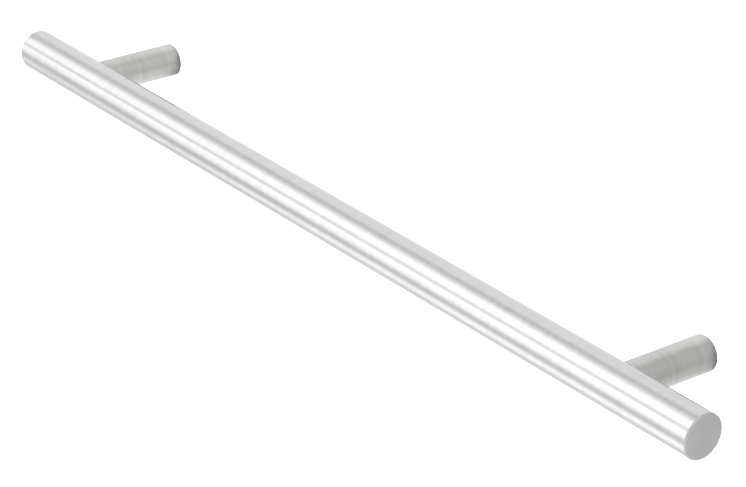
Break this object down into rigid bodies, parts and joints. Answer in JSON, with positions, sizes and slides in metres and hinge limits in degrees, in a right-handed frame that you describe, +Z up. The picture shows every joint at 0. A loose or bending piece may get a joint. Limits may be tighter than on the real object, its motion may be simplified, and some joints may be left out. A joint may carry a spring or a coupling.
{
  "type": "t bar cabinet pull",
  "caption": "Straight round bar cabinet pull on turned round posts, satin stainless steel, fixed from behind the door by machine screws.",
  "frame": {"origin": "in the mounting plane, midway between the centres of the two posts", "axes": "+X along the bar from the left post to the right post, +Y from the bar into the door, square to the mounting plane, +Z up"},
  "size_m": [0.242, 0.029, 0.01],
  "materials": {
    "bar_steel": "satin, ground round the bar with very fine marks, crisp lengthwise highlights",
    "post_steel": "satin, turned, a little duller than the bar",
    "stud_steel": "plain machined stainless steel"
  },
  "bodies": {
    "root": {"grip_bar": "bar_steel", "post_left": "post_steel", "post_right": "post_steel", "stud_left": "stud_steel", "stud_right": "stud_steel"}
  },
  "joints": []
}
